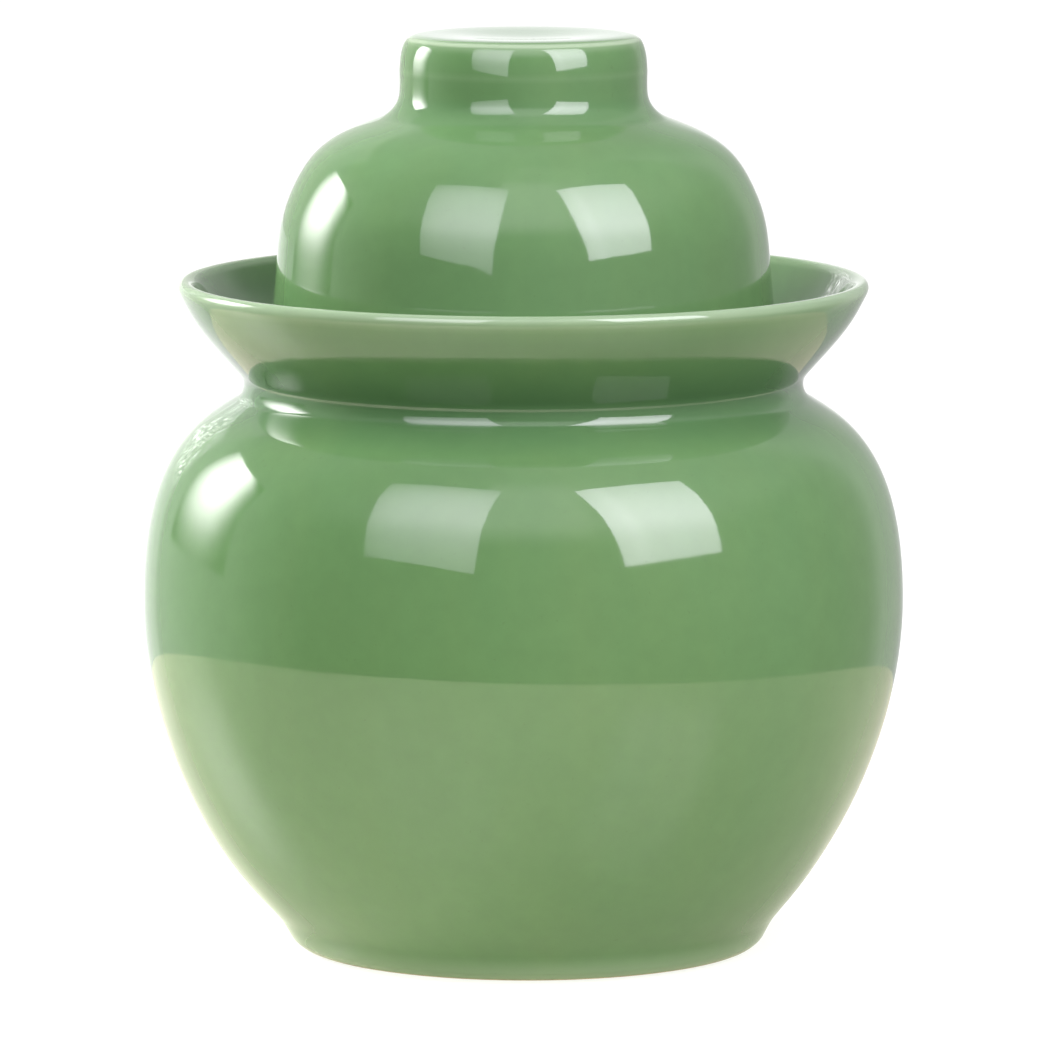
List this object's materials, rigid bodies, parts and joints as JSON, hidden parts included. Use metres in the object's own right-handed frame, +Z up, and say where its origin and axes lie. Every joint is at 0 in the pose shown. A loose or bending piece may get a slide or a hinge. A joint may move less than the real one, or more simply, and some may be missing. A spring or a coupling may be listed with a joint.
{
  "type": "fermentation crock",
  "caption": "Round-bellied glazed ceramic jar whose domed lid stands in a water moat round the mouth, for fermenting and pickling.",
  "frame": {"origin": "centre of the foot ring, on the surface the crock stands on", "axes": "+Z up along the turning axis, -Y towards the viewer; the crock is round, so X and Y differ only in how the two weight halves part, along X = 0"},
  "size_m": [0.2, 0.2, 0.24],
  "materials": {
    "celadon_glaze": "gloss glaze",
    "bare_stoneware": "matt, unglazed"
  },
  "bodies": {
    "crock": {"crock_body": "celadon_glaze"},
    "outer_lid": {"outer_lid": "celadon_glaze"},
    "inner_lid": {"inner_lid": "celadon_glaze"},
    "weight_left": {"weight_half_left": "bare_stoneware"},
    "weight_right": {"weight_half_right": "bare_stoneware"}
  },
  "joints": [
    {"name": "outer_lid_lift", "type": "slide", "parent": "crock", "child": "outer_lid", "axis": [0, 0, 1], "range_m": [0, 0.36]},
    {"name": "inner_lid_lift", "type": "slide", "parent": "crock", "child": "inner_lid", "axis": [0, 0, 1], "range_m": [0, 0.162]},
    {"name": "weight_left_lift", "type": "slide", "parent": "crock", "child": "weight_left", "axis": [0, 0, 1], "range_m": [0, 0.198]},
    {"name": "weight_right_lift", "type": "slide", "parent": "crock", "child": "weight_right", "axis": [0, 0, 1], "range_m": [0, 0.198]}
  ],
  "couplings": [
    {"joint": "inner_lid_lift", "follows": "outer_lid_lift", "ratio": 0.45},
    {"joint": "weight_left_lift", "follows": "outer_lid_lift", "ratio": 0.55},
    {"joint": "weight_right_lift", "follows": "outer_lid_lift", "ratio": 0.55}
  ]
}
